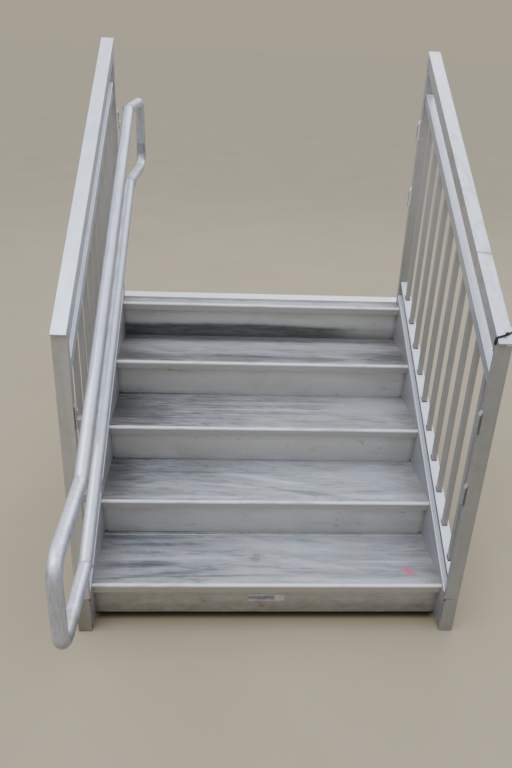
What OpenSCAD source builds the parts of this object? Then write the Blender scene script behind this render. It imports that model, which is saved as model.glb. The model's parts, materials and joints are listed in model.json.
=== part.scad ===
// Portable aluminium stair unit: five risers between two box stringers on four
// shallow legs, with a picket guard each side and a looped handrail on the left.
// Origin: on the ground, at the middle of the unit's footprint.
// X is to the right, Y away from someone about to climb, Z up.

/* [Flight] */
// Height of each riser
rise = 178; // [160:1:190]
// Distance from one nosing to the next
run = 280; // [260:1:310]
// Clear width between the stringers
clear_w = 1314; // [900:2:1500]

/* [Treads and risers] */
// Thickness of the hollow tread planks
plank_t = 38; // [32:1:45]
// Skin and rib thickness inside the planks
plank_wall = 3; // [2:0.5:5]
// Number of hollow cells in a full plank
plank_cells = 5; // [3:1:7]
// Radius of the nosing's top edge
nose_r = 14; // [8:1:18]
// How far a nosing stands ahead of the riser below it
overhang = 33; // [15:1:45]
// Thickness of the riser plates
riser_t = 5; // [3:0.5:8]
// Depth of the fixing flange along a riser's top
riser_flange = 25; // [15:1:35]
// Gap under the first riser
ground_gap = 9; // [4:1:20]

/* [Frame] */
// Outside width of the legs, posts, stringers and top rails
tube = 51; // [45:1:60]
// Depth of the legs and posts, front to back
leg_d = 22; // [20:1:30]
// Wall of the tubes and stringers
tube_wall = 4; // [3:0.5:6]
// Corner radius of the tubes
tube_r = 3; // [1:0.5:5]
// Depth of the box stringers, square to the slope
stringer_d = 203; // [180:1:230]
// Height of a stringer's top face above the line of the nosings
stringer_lift = 15; // [5:1:30]
// Gap between the first nosing and the front legs
leg_gap = 33; // [20:1:45]
// Depth of the top tread, up to the back of the rear legs
top_tread_d = 74; // [65:1:90]
// Drop from a stringer's top face to the top of a leg
leg_drop = 9; // [4:1:30]
// Length of the spigot that a leg pushes into its post
spigot = 60; // [40:5:90]
// Clearance all round a spigot
spigot_gap = 0.5; // [0.3:0.1:1]
// Depth of the header under the top tread
header_h = 102; // [80:1:120]
// Height of the rear tie above the ground
tie_z = 120; // [80:5:250]
// Leg length of the cleats under the treads
cleat = 30; // [25:1:34]
// Thickness of the cleats
cleat_t = 5; // [4:0.5:6]
// Gap between a cleat and the riser's fixing flange
cleat_gap = 2; // [1:0.5:6]

/* [Landing flange] */
// Reach of the flange behind the rear legs
flange_reach = 72; // [50:1:100]
// Height of its upright leaf
flange_h = 76; // [60:1:90]
// Thickness of the flange
flange_t = 6; // [5:0.5:8]
// Height of the flange above the top tread
flange_step = 3; // [0:1:5]

/* [Guards] */
// Height of the guards above the line of the nosings
guard_h = 1060; // [1000:5:1100]
// How far a top rail's upper wall stands past its posts at each end
rail_lip = 12; // [0:1:20]
// Height of the level cut that blunts a top rail's far tip
rail_tip = 4.671; // [0:0.001:8]
// Height of the mid rail's top face above the line of the nosings
mid_h = 914; // [860:2:940]
// Height of the bottom rail's top face above the line of the nosings
bottom_h = 80; // [70:1:120]
// Width of the mid and bottom rails
thin_w = 38; // [32:1:45]
// Depth of the mid rail, square to the slope
mid_d = 38; // [25:1:45]
// Depth of the bottom rail, square to the slope
bottom_d = 20; // [15:1:38]
// Wall of the mid and bottom rails and the pickets
thin_wall = 3; // [2:0.5:4]
// Width of a picket
picket = 19; // [16:1:25]
// Distance from the first nosing back to the middle of the first picket
picket_first = 34; // [20:1:60]
// Distance from one picket to the next
picket_pitch = 117; // [100:1:125]

/* [Handrail] */
// Outside diameter of the handrail tube
rail_d = 42; // [34:1:48]
// Wall of the handrail tube
rail_wall = 3.5; // [2.5:0.5:5]
// Distance of the handrail's centre line from the posts
rail_off = 67; // [58:1:80]
// Height of the upper run above the line of the nosings
upper_h = 884; // [860:1:900]
// Height of the lower run above the line of the nosings
lower_h = 630; // [600:1:660]
// How far past the top nosing the level ends reach
top_reach = 363; // [300:1:400]
// Distance from the top nosing back to where the upper run turns level
top_turn = 55; // [0:1:90]
// Height between the level runs at the top
top_drop = 284; // [230:1:300]
// Bend radius at the two top corners
top_bend = 62; // [50:1:90]
// How far ahead of the first nosing the upper run turns level
foot_turn = 329; // [280:1:380]
// How far ahead of the first nosing the foot bend reaches
foot_reach = 693; // [600:1:760]
// Height between the level runs at the foot
foot_drop = 276; // [230:1:300]
// Bend radius at the two foot corners
foot_bend = 62; // [50:1:90]

/* [Handrail brackets] */
// Height of the upper plates' centres above the line of the nosings
upper_plate_h = 757; // [730:1:790]
// Height of the lower plates' centres above the line of the nosings
lower_plate_h = 473; // [450:1:500]
// Height of a plate
plate_h = 84; // [76:1:110]
// Width of a plate
plate_w = 20; // [16:1:22]
// Thickness of a plate
plate_t = 8; // [5:0.5:10]
// Diameter of the screw holes in a plate
plate_bolt = 7; // [5:0.5:8]
// Distance between a plate's screw holes
plate_pitch = 52; // [36:1:52]
// Width of a bracket arm's flat bar
arm_w = 25; // [16:1:30]
// Thickness of a bracket arm's flat bar
arm_t = 8; // [5:0.5:10]
// Bend radius of a bracket arm
arm_bend = 22; // [18:1:28]
// How far an arm leaves its plate below the plate's centre
arm_drop = 8; // [0:1:12]

/* [Hidden] */
$fn = 96;
steps = 5;
slope = rise / run;
angle = atan(slope);
nosing_w = clear_w / 2;
outer_w = nosing_w + tube;
mid_x = nosing_w + tube / 2;
top_y = (steps - 1) * run;
top_z = steps * rise;
front_y = -leg_gap - leg_d;
far_y = top_y + top_tread_d;
rear_y = far_y - leg_d;
mid_y = (top_y + top_reach - foot_reach) / 2;
reach = 6000;
cavity = tube - 2 * tube_wall;
cavity_d = leg_d - 2 * tube_wall;
rail_x = nosing_w - rail_off;
upper_top_z = level(top_y - top_turn, upper_h);
lower_top_z = upper_top_z - top_drop;
upper_foot_z = level(-foot_turn, upper_h);
lower_foot_z = upper_foot_z - foot_drop;

// Height at y of a line h above the line of the nosings
function level(y, h) = rise + slope * y + h;
// Where a line h above the line of the nosings is at height z
function level_y(z, h) = (z - rise - h) / slope;
// Depth of a sloping piece measured straight down
function plumb(d) = d / cos(angle);

// From under the first nosing to the middle of the footprint
module place() {
    translate([0, -mid_y, 0]) children();
}

// An outline in the YZ plane, w wide from x
module side(x, w) {
    translate([x, 0, 0]) rotate([90, 0, 90]) linear_extrude(w) children();
}

// A rectangle with round corners, centred
module round_rect(w, h, r) {
    square([w - 2 * r, h], center = true);
    square([w, h - 2 * r], center = true);
    for (x = [-1, 1], y = [-1, 1])
        translate([x * (w / 2 - r), y * (h / 2 - r)]) circle(r);
}

// Everything between two upright planes
module between(y0, y1) {
    intersection() {
        children();
        translate([-reach / 2, y0, -reach / 2]) cube([reach, y1 - y0, reach]);
    }
}

// Everything under a line h above the line of the nosings
module under(h) {
    intersection() {
        children();
        side(-reach / 2, reach)
            polygon([[-reach, -reach], [reach, -reach], [reach, level(reach, h)], [-reach, level(-reach, h)]]);
    }
}

// A sloping bar w wide and d deep whose top face is h above the line of the nosings
module sloping(x, w, d, h, r) {
    translate([x, 0, level(0, h)]) rotate([angle - 90, 0, 0]) translate([0, d / 2, -reach / 2])
        linear_extrude(reach) round_rect(w, d, r);
}

// Upright tube standing on z, its front face at y
module upright(x, y, z, h) {
    translate([x, y + leg_d / 2, z]) linear_extrude(h) difference() {
        round_rect(tube, leg_d, tube_r);
        square([cavity, cavity_d], center = true);
    }
}

// Section of a hollow plank d deep with its nosing at the origin and its top at zero
module plank_section(d, cells) {
    pitch = (d - plank_wall) / cells;
    difference() {
        union() {
            translate([nose_r, -nose_r]) circle(nose_r);
            translate([nose_r, -plank_t]) square([d - nose_r, plank_t]);
            translate([0, -plank_t]) square([nose_r + 1, plank_t - nose_r]);
        }
        for (i = [1 : cells - 1])
            translate([plank_wall + i * pitch, plank_wall - plank_t])
                square([pitch - plank_wall, plank_t - 2 * plank_wall]);
        translate([nose_r, -nose_r]) circle(nose_r - plank_wall);
        translate([nose_r, plank_wall - plank_t])
            square([pitch - nose_r, plank_t - 2 * plank_wall]);
        translate([plank_wall, plank_wall - plank_t])
            square([nose_r, plank_t - plank_wall - nose_r]);
    }
}

module plank(y, z, d, cells) {
    color("gainsboro") translate([0, y, z]) side(-nosing_w, clear_w) plank_section(d, cells);
}

module tread(i) {
    plank((i - 1) * run, i * rise, run + overhang + riser_t, plank_cells);
}

module top_tread() {
    plank(top_y, top_z, top_tread_d, 2);
}

module riser(i) {
    y = (i - 1) * run + overhang;
    bottom = i == 1 ? ground_gap : (i - 1) * rise;
    top = i * rise - plank_t;
    lip = i == steps ? 0 : riser_flange;
    color("silver") side(-nosing_w, clear_w) {
        translate([y, bottom]) square([riser_t, top - bottom]);
        translate([y, top - riser_t]) square([riser_t + lip, riser_t]);
    }
}

module stringer(s) {
    color("lightgray") between(-leg_gap, rear_y) intersection() {
        difference() {
            sloping(s * mid_x, tube, stringer_d, stringer_lift, tube_r);
            translate([0, 0, -plumb(tube_wall)])
                sloping(s * mid_x, cavity, stringer_d - 2 * tube_wall, stringer_lift, 1);
        }
        translate([-reach / 2, -reach / 2, ground_gap]) cube(reach);
    }
}

module leg(s, y) {
    top = level(y + leg_d / 2, stringer_lift) - leg_drop;
    color("darkgray") {
        upright(s * mid_x, y, 0, top);
        translate([s * mid_x, y + leg_d / 2, top - spigot]) linear_extrude(spigot)
            square([cavity, cavity_d], center = true);
        translate([s * mid_x, y + leg_d / 2, top - 1]) linear_extrude(spigot + 1)
            square([cavity - 2 * spigot_gap, cavity_d - 2 * spigot_gap], center = true);
    }
}

module rear_header() {
    back = top_y + overhang + riser_t;
    color("darkgray") difference() {
        translate([-nosing_w, back, top_z - plank_t - header_h])
            cube([clear_w, far_y - back, header_h]);
        translate([-nosing_w - 1, back + tube_wall, top_z - plank_t - header_h + tube_wall])
            cube([clear_w + 2, far_y - back - 2 * tube_wall, header_h - 2 * tube_wall]);
    }
}

module rear_tie() {
    color("darkgray") translate([-nosing_w, far_y - tube / 2, tie_z + tube / 2])
        rotate([90, 0, 90]) linear_extrude(clear_w) difference() {
            round_rect(tube, tube, tube_r);
            square(cavity, center = true);
        }
}

module landing_flange() {
    top = top_z + flange_step;
    color("whitesmoke") side(-outer_w, 2 * outer_w) {
        translate([far_y, top - flange_h]) square([flange_t, flange_h]);
        translate([far_y, top - flange_t]) square([flange_reach, flange_t]);
    }
}

module tread_cleats(s) {
    start = overhang + riser_t + riser_flange + cleat_gap;
    length = run - start;
    color("darkgray") for (i = [1 : steps - 1]) {
        y = (i - 1) * run + start;
        top = i * rise - plank_t;
        translate([s > 0 ? nosing_w - cleat : -nosing_w, y, top - cleat_t])
            cube([cleat, length, cleat_t]);
        translate([s > 0 ? nosing_w - cleat_t : -nosing_w, y, top - cleat])
            cube([cleat_t, length, cleat]);
    }
}

module post(s, y) {
    bottom = level(y + leg_d / 2, stringer_lift) - leg_drop;
    color("silver") under(guard_h - plumb(tube_wall)) upright(s * mid_x, y, bottom, guard_h + tube);
}

// Tube between the posts, with its upper wall running on over both of them
module top_rail(s) {
    tip_z = level(far_y + rail_lip, guard_h) - rail_tip;
    color("whitesmoke") difference() {
        between(front_y - rail_lip, far_y + rail_lip) sloping(s * mid_x, tube, tube, guard_h, tube_r);
        sloping(s * mid_x, cavity, cavity, guard_h - plumb(tube_wall), 1);
        under(guard_h - plumb(tube_wall)) for (y = [-leg_gap - reach, rear_y])
            translate([-reach / 2, y, -reach / 2]) cube([reach, reach, 2 * reach]);
        translate([-reach / 2, -reach / 2, tip_z]) cube(reach);
    }
}

module thin_rail(s, h, d) {
    color("whitesmoke") between(-leg_gap, rear_y) difference() {
        sloping(s * mid_x, thin_w, d, h, 2);
        sloping(s * mid_x, thin_w - 2 * thin_wall, d - 2 * thin_wall, h - plumb(thin_wall), 0.5);
    }
}

module pickets(s) {
    first = picket_first - picket / 2;
    count = floor((rear_y - picket - picket_first) / picket_pitch) + 1;
    foot = bottom_h;
    head = mid_h - plumb(mid_d);
    color("silver") for (i = [0 : count - 1]) {
        a = first + i * picket_pitch;
        difference() {
            picket_bar(s * mid_x, a, picket, foot, head);
            picket_bar(s * mid_x, a + thin_wall, picket - 2 * thin_wall, foot - 1, head + 1);
        }
    }
}

// Square upright w wide from y = a, cut to the slope at both ends
module picket_bar(x, a, w, foot, head) {
    b = a + w;
    side(x - w / 2, w)
        polygon([[a, level(a, foot)], [b, level(b, foot)], [b, level(b, head)], [a, level(a, head)]]);
}

// Plates on the inner faces of both posts of one side
module bracket_plates(s) {
    color("gainsboro") for (y = [front_y, rear_y], h = [upper_plate_h, lower_plate_h])
        translate([s * nosing_w, y + leg_d / 2, level(y + leg_d / 2, h)]) mirror([s > 0 ? 1 : 0, 0, 0])
            bracket_plate();
}

module bracket_plate() {
    difference() {
        rotate([90, 0, 0]) linear_extrude(plate_w, center = true)
            polygon([
                [0, -plate_h / 2], [plate_t, -plate_h / 2],
                [plate_t, plate_h / 2 - 2 * plate_t], [0, plate_h / 2]
            ]);
        for (z = [-1, 1])
            translate([0, 0, z * plate_pitch / 2 - plate_t / 2]) rotate([0, 90, 0])
                cylinder(h = 3 * plate_t, d = plate_bolt, center = true);
    }
}

// Arms from the left plates to the undersides of the two handrail runs
module bracket_arms() {
    front = front_y + leg_d / 2;
    rear = rear_y + leg_d / 2;
    color("gainsboro") {
        bracket_arm(front, upper_plate_h, level(front, upper_h), angle);
        bracket_arm(front, lower_plate_h, level(front, lower_h), angle);
        bracket_arm(rear, upper_plate_h, upper_top_z, 0);
        bracket_arm(rear, lower_plate_h, lower_top_z, 0);
    }
}

// Flat bar out of a plate, round a quarter bend and up to a tube at height rail_z, pitched at tilt
module bracket_arm(y, h, rail_z, tilt) {
    z = level(y, h) - arm_drop;
    x = -nosing_w + plate_t;
    translate([0, y, 0]) difference() {
        union() {
            translate([x, -arm_w / 2, z - arm_t / 2]) cube([-rail_x - arm_bend - x, arm_w, arm_t]);
            translate([-rail_x - arm_bend, 0, z + arm_bend]) rotate([90, 0, 0]) rotate([0, 0, -90])
                rotate_extrude(angle = 90) translate([arm_bend, 0]) square([arm_t, arm_w], center = true);
            translate([-rail_x - arm_t / 2, -arm_w / 2, z + arm_bend]) cube([arm_t, arm_w, rail_z - z - arm_bend]);
        }
        translate([-rail_x, 0, rail_z]) rotate([tilt - 90, 0, 0])
            cylinder(h = 3 * rail_d, d = rail_d, center = true);
    }
}

// Mitre at a turn of the handrail: the half plane ahead of a cut through y, z
module ahead(y, z) {
    translate([0, y, z]) rotate([angle / 2, 0, 0]) translate([-reach / 2, 0, -reach / 2])
        cube([reach, reach, reach]);
}

module run_bar(h, y0, y1, d) {
    difference() {
        intersection() {
            translate([-rail_x, 0, level(0, h)]) rotate([angle - 90, 0, 0])
                cylinder(h = reach, d = d, center = true);
            ahead(y0, level(y0, h));
        }
        ahead(y1, level(y1, h));
    }
}

// Level bar from y0 to y1
module level_bar(y0, y1, z, d) {
    translate([-rail_x, y0, z]) rotate([-90, 0, 0]) cylinder(h = y1 - y0, d = d);
}

// Part of a ring in the handrail's plane, from angle a, sweeping w
module bend(y, z, r, a, w, d) {
    translate([-rail_x, y, z]) rotate([90, 0, 90]) rotate([0, 0, a])
        rotate_extrude(angle = w) translate([r, 0]) circle(d = d);
}

module top_return_bar(d) {
    far = top_y + top_reach;
    y0 = top_y - top_turn;
    y1 = level_y(lower_top_z, lower_h);
    intersection() {
        level_bar(y0 - rail_d, far - top_bend, upper_top_z, d);
        ahead(y0, upper_top_z);
    }
    bend(far - top_bend, upper_top_z - top_bend, top_bend, 0, 90, d);
    translate([-rail_x, far, lower_top_z + top_bend]) cylinder(h = top_drop - 2 * top_bend, d = d);
    bend(far - top_bend, lower_top_z + top_bend, top_bend, -90, 90, d);
    intersection() {
        level_bar(y1 - rail_d, far - top_bend, lower_top_z, d);
        ahead(y1, lower_top_z);
    }
}

module foot_return_bar(d) {
    centre = -foot_reach + foot_bend;
    y1 = level_y(lower_foot_z, lower_h);
    difference() {
        level_bar(centre, -foot_turn + rail_d, upper_foot_z, d);
        ahead(-foot_turn, upper_foot_z);
    }
    bend(centre, upper_foot_z - foot_bend, foot_bend, 90, 90, d);
    translate([-rail_x, -foot_reach, lower_foot_z + foot_bend]) cylinder(h = foot_drop - 2 * foot_bend, d = d);
    bend(centre, lower_foot_z + foot_bend, foot_bend, 180, 90, d);
    difference() {
        level_bar(centre, y1 + rail_d, lower_foot_z, d);
        ahead(y1, lower_foot_z);
    }
}

module handrail_run(h, y0, y1) {
    color("lightgray") difference() {
        run_bar(h, y0, y1, rail_d);
        run_bar(h, y0, y1, rail_d - 2 * rail_wall);
    }
}

module handrail_top_return() {
    color("lightgray") difference() {
        top_return_bar(rail_d);
        top_return_bar(rail_d - 2 * rail_wall);
    }
}

module handrail_foot_return() {
    color("lightgray") difference() {
        foot_return_bar(rail_d);
        foot_return_bar(rail_d - 2 * rail_wall);
    }
}

place() stringer(-1);  // stringer_left
place() stringer(1);  // stringer_right
place() tread(1);  // tread_1
place() tread(2);  // tread_2
place() tread(3);  // tread_3
place() tread(4);  // tread_4
place() top_tread();
place() riser(1);  // riser_1
place() riser(2);  // riser_2
place() riser(3);  // riser_3
place() riser(4);  // riser_4
place() riser(5);  // riser_5
place() leg(-1, front_y);  // front_leg_left
place() leg(1, front_y);  // front_leg_right
place() leg(-1, rear_y);  // rear_leg_left
place() leg(1, rear_y);  // rear_leg_right
place() rear_header();
place() rear_tie();
place() landing_flange();
place() tread_cleats(-1);  // tread_cleats_left
place() tread_cleats(1);  // tread_cleats_right
place() post(-1, front_y);  // front_post_left
place() post(-1, rear_y);  // rear_post_left
place() top_rail(-1);  // top_rail_left
place() thin_rail(-1, mid_h, mid_d);  // mid_rail_left
place() thin_rail(-1, bottom_h, bottom_d);  // bottom_rail_left
place() pickets(-1);  // pickets_left
place() post(1, front_y);  // front_post_right
place() post(1, rear_y);  // rear_post_right
place() top_rail(1);  // top_rail_right
place() thin_rail(1, mid_h, mid_d);  // mid_rail_right
place() thin_rail(1, bottom_h, bottom_d);  // bottom_rail_right
place() pickets(1);  // pickets_right
place() bracket_plates(-1);  // bracket_plates_left
place() bracket_plates(1);  // bracket_plates_right
place() bracket_arms();
place() handrail_run(upper_h, -foot_turn, top_y - top_turn);  // handrail_upper_run
place() handrail_run(lower_h, level_y(lower_foot_z, lower_h), level_y(lower_top_z, lower_h));  // handrail_lower_run
place() handrail_top_return();
place() handrail_foot_return();
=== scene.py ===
import json
import math
import random

import bmesh
import bpy
from mathutils import Matrix, Vector


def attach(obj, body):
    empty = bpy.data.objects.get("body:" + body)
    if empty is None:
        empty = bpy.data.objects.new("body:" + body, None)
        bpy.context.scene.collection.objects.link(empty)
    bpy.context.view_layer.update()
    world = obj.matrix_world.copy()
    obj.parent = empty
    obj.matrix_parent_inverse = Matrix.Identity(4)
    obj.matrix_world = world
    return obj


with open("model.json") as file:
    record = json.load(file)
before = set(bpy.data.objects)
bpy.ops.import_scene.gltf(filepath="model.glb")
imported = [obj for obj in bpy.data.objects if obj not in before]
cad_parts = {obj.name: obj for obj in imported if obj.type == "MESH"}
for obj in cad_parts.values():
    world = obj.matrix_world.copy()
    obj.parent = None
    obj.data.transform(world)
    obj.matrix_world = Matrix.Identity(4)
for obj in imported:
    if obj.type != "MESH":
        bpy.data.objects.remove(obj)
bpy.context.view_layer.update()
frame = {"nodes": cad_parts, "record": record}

random.seed(7)

# Sizes of the unit in metres, in the frame of the solids
RISE, RUN, STEPS = 0.178, 0.280, 5
NOSING_W, TUBE, TUBE_WALL, LEG_D = 0.657, 0.051, 0.004, 0.022
MID_X = NOSING_W + TUBE / 2
MID_Y = 0.395  # the middle of the footprint, measured from the first nosing
SLOPE = RISE / RUN
ANGLE = math.atan(SLOPE)
FRONT_Y = -0.055
TOP_Y = (STEPS - 1) * RUN
FAR_Y = TOP_Y + 0.074
REAR_Y = FAR_Y - LEG_D
INNER_FACES = (FRONT_Y + LEG_D, REAR_Y)  # the faces of the legs and posts that look at each other
OVERHANG, NOSE_R, PLANK_T, RISER_T = 0.033, 0.014, 0.038, 0.005
CLEAT_Y, CLEAT_FOOT = 0.065, 0.068  # a cleat's start behind the nosing, and its lower edge under the tread
STRINGER_LIFT, STRINGER_D, LEG_DROP = 0.015, 0.203, 0.009
HEADER_Z, TIE_Z = (0.750, 0.852), (0.120, 0.171)
GUARD_H, MID_H, BOTTOM_H = 1.060, 0.914, 0.080
MID_D, BOTTOM_D, THIN_W = 0.038, 0.020, 0.038
PICKET, PICKET_FIRST, PICKET_PITCH, PICKETS = 0.019, 0.034, 0.117, 10
RAIL_X, RAIL_R, UPPER_H, LOWER_H = -0.590, 0.021, 0.884, 0.630
TOP_TURN, TOP_DROP, FOOT_TURN, FOOT_DROP = 0.055, 0.284, 0.329, 0.276
PLATE_HEIGHTS, PLATE_T, PLATE_PITCH = (0.757, 0.473), 0.008, 0.052
LABEL_X, LABEL_HALF_W, LABEL_Z = -0.004, 0.070, (0.070, 0.099)
SIDES = ((-1, "left"), (1, "right"))


def level(y, h):
    """Height of a line that follows the nosings at h above them."""
    return RISE + SLOPE * y + h


def plumb(d):
    """Upright measure of a depth taken square to the slope."""
    return d / math.cos(ANGLE)


def at(x, y, z):
    """A point measured from under the first nosing, in the frame's own axes."""
    return Vector((x, y - MID_Y, z))


def handrail_joints():
    """The mitres of the handrail as (y, z): the upper run's foot and top, then the lower run's."""
    ends = [(y, level(y, UPPER_H)) for y in (-FOOT_TURN, TOP_Y - TOP_TURN)]
    for drop, z in ((FOOT_DROP, ends[0][1]), (TOP_DROP, ends[1][1])):
        ends.append(((z - drop - RISE - LOWER_H) / SLOPE, z - drop))
    return ends


def camera():
    """Where the photograph was taken from."""
    yaw, pitch, roll = 0.0597, 0.4489, -0.0430
    width, focal, picture = 36, 695.2, 768
    fwd = Vector((math.sin(yaw) * math.cos(pitch), math.cos(yaw) * math.cos(pitch), -math.sin(pitch)))
    right = Vector((math.cos(yaw), -math.sin(yaw), 0))
    down = fwd.cross(right)
    r2 = math.cos(roll) * right + math.sin(roll) * down
    d2 = -math.sin(roll) * right + math.cos(roll) * down
    data = bpy.data.cameras.new("camera")
    data.sensor_width = width
    data.lens = focal / picture * width
    cam = bpy.data.objects.new("camera", data)
    bpy.context.scene.collection.objects.link(cam)
    m = Matrix((r2, -d2, -fwd)).transposed().to_4x4()
    m.translation = at(-0.2021, -2.0124, 1.9822)
    cam.matrix_world = m
    bpy.context.scene.camera = cam


camera()


# Materials
class Mat:
    """A node material built from short calls; every value may be a number, a tuple or a socket."""

    def __init__(self, name):
        self.mat = bpy.data.materials.new(name)
        self.mat.use_nodes = True
        self.tree = self.mat.node_tree
        self.bsdf = self.tree.nodes["Principled BSDF"]
        self.pos = self.node("ShaderNodeTexCoord").outputs["Object"]
        self.geo = self.node("ShaderNodeNewGeometry")
        self.x, self.y, self.z = self.xyz(self.pos)
        self.nx, self.ny, self.nz = self.xyz(self.geo.outputs["True Normal"])

    def node(self, kind, ins=None, **props):
        n = self.tree.nodes.new(kind)
        for k, v in props.items():
            setattr(n, k, v)
        for k, v in (ins or {}).items():
            self.put(n.inputs[k], v)
        return n

    def put(self, socket, v):
        if isinstance(v, bpy.types.NodeSocket):
            self.tree.links.new(v, socket)
        elif isinstance(v, (tuple, list)) and len(v) == 3 and socket.type == "RGBA":
            socket.default_value = (*v, 1)
        else:
            socket.default_value = v

    def math(self, op, a, b=0.0, clamp=False):
        return self.node("ShaderNodeMath", {0: a, 1: b}, operation=op, use_clamp=clamp).outputs[0]

    def plus(self, a, b):
        return self.math("ADD", a, b)

    def minus(self, a, b):
        return self.math("SUBTRACT", a, b)

    def times(self, a, *more):
        for b in more:
            a = self.math("MULTIPLY", a, b)
        return a

    def size(self, a):
        return self.math("ABSOLUTE", a)

    def sway(self, noise, amount):
        """Noise centred on nought, times an amount."""
        return self.times(self.minus(noise, 0.5), amount)

    def measure(self, op, a, b=(0, 0, 0)):
        """A vector operation that gives one number."""
        return self.node("ShaderNodeVectorMath", {0: a, 1: b}, operation=op).outputs["Value"]

    def xyz(self, v):
        return self.node("ShaderNodeSeparateXYZ", {0: v}).outputs

    def stretch(self, scale, turn=0.0, shift=(0, 0, 0), skew=0.0):
        """Object space turned about X, skewed about Z and scaled, so that noise runs along the metal."""
        v = self.pos
        if skew:
            v = self.node("ShaderNodeVectorRotate", {"Vector": v, "Angle": skew}, rotation_type="Z_AXIS").outputs[0]
        if turn:
            v = self.node("ShaderNodeVectorRotate", {"Vector": v, "Angle": turn}, rotation_type="X_AXIS").outputs[0]
        return self.node("ShaderNodeMapping", {"Vector": v, "Scale": scale, "Location": shift}).outputs[0]

    def noise(self, vec, scale, detail, rough, warp=0.0):
        return self.node("ShaderNodeTexNoise", {"Vector": vec, "Scale": scale, "Detail": detail,
                                                "Roughness": rough, "Distortion": warp}).outputs["Fac"]

    def span(self, v, a, b, c=0.0, d=1.0, smooth=False):
        """v carried from the span a to b onto the span c to d, and held at its ends."""
        return self.node("ShaderNodeMapRange", {"Value": v, "From Min": a, "From Max": b, "To Min": c, "To Max": d},
                         interpolation_type="SMOOTHSTEP" if smooth else "LINEAR").outputs[0]

    def mix(self, f, a, b, blend="MIX"):
        return self.node("ShaderNodeMix", {"Factor": f, 6: a, 7: b}, data_type="RGBA", blend_type=blend).outputs[2]

    def tint(self, f, a, b):
        """a times a blend of white and b."""
        return self.mix(f, a, b, "MULTIPLY")

    def edge(self, radius):
        """Normal rounded over the edges, and a mask of those edges."""
        b = self.node("ShaderNodeBevel", {"Radius": radius}, samples=6).outputs[0]
        d = self.measure("DOT_PRODUCT", b, self.geo.outputs["True Normal"])
        return b, self.span(d, 0.995, 0.90)

    def top(self):
        """1 on faces that look up, 0 on upright ones."""
        return self.span(self.nz, 0.45, 0.75)

    def blob(self, centre, radius, grain, wobble):
        """A ragged round patch about a point."""
        d = self.measure("DISTANCE", self.pos, tuple(centre))
        n = self.noise(self.pos, grain, 5.0, 0.65)
        d = self.plus(d, self.sway(n, radius * wobble * 2))
        return self.span(d, radius, radius * 0.72)

    def finish(self, colour, rough, metallic, normal=None):
        self.put(self.bsdf.inputs["Base Color"], colour)
        self.put(self.bsdf.inputs["Roughness"], rough)
        self.put(self.bsdf.inputs["Metallic"], metallic)
        if normal is not None:
            self.put(self.bsdf.inputs["Normal"], normal)
        return self.mat

    def bump(self, height, strength, distance, normal=None):
        n = self.node("ShaderNodeBump", {"Height": height, "Strength": strength, "Distance": distance})
        if normal is not None:
            self.put(n.inputs["Normal"], normal)
        return n.outputs[0]


# Scale of the noise along each grain, and its turn about X
GRAIN = {"x": ((1.1, 26, 26), 0.0), "z": ((26, 26, 1.4), 0.0), "slope": ((26, 1.4, 26), -ANGLE)}
DIRT = (0.20, 0.19, 0.165)
BRIGHT = (0.80, 0.81, 0.84)


def aluminium(name, up, side, grain, metallic, rough, stain, soft, marks=None, edge=0.0022):
    """Mill-finish aluminium: painted pale where it faces up and duller on its sides, as painted light and shade from
    the sky, and streaked along its grain.

    rough is its span of roughness, stain the strength of its dark streaks, soft that of its pale ones and its grain,
    and edge the radius of its worn edges. marks is a function that adds what only some pieces show.
    """
    m = Mat(name)
    scale, turn = GRAIN[grain]
    long = m.stretch(scale, turn)
    broad = m.noise(m.pos, 3.2, 4.0, 0.6)
    streak = m.noise(long, 1.0, 7.0, 0.62, 0.25)
    fine = m.noise(m.stretch([v * 7 for v in scale], turn, (3, 5, 1)), 1.0, 4.0, 0.6)
    speck = m.noise(m.pos, 95.0, 3.0, 0.7)
    facing = m.top()
    # painted light and shade: faces that look up take the lit colour up, upright faces the duller colour side
    col = m.mix(facing, side, up)
    light = m.times(m.span(streak, 0.52, 0.74), 0.30 * soft)
    col = m.mix(light, col, BRIGHT)
    dark = m.times(m.span(m.plus(streak, m.times(broad, 0.55)), 0.74, 0.48), stain)
    col = m.mix(dark, col, m.tint(1.0, col, (0.50, 0.50, 0.52)))
    col = m.tint(m.times(m.span(fine, 0.62, 0.38), 0.22 * soft), col, (0.62, 0.62, 0.64))
    col = m.tint(m.times(m.span(speck, 0.64, 0.74), 0.5), col, (0.52, 0.50, 0.46))
    low = m.times(m.span(m.z, 0.16, 0.0), m.span(broad, 0.3, 0.7))
    col = m.mix(m.times(low, 0.5), col, DIRT)
    normal, rim = m.edge(edge)
    wear = m.times(rim, m.span(m.noise(m.pos, 34.0, 4.0, 0.6), 0.36, 0.58))
    col = m.mix(m.times(wear, 0.75), col, BRIGHT)
    if marks:
        col = marks(m, col)
    r = m.span(m.plus(m.times(streak, 0.6), m.times(broad, 0.4)), 0.32, 0.68, *rough)
    r = m.math("SUBTRACT", r, m.times(wear, 0.10), clamp=True)
    h = m.plus(m.times(fine, 0.7), m.times(speck, 0.3))
    n = m.bump(h, 0.16, 0.0012, normal)
    n = m.bump(broad, 0.10, 0.02, n)
    return m.finish(col, r, metallic, n)


def smear(m, col, mask, amount, tone=(0.45, 0.46, 0.49)):
    """Darkens a colour toward a tone, where the mask is."""
    return m.tint(m.times(mask, amount), col, tone)


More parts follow.
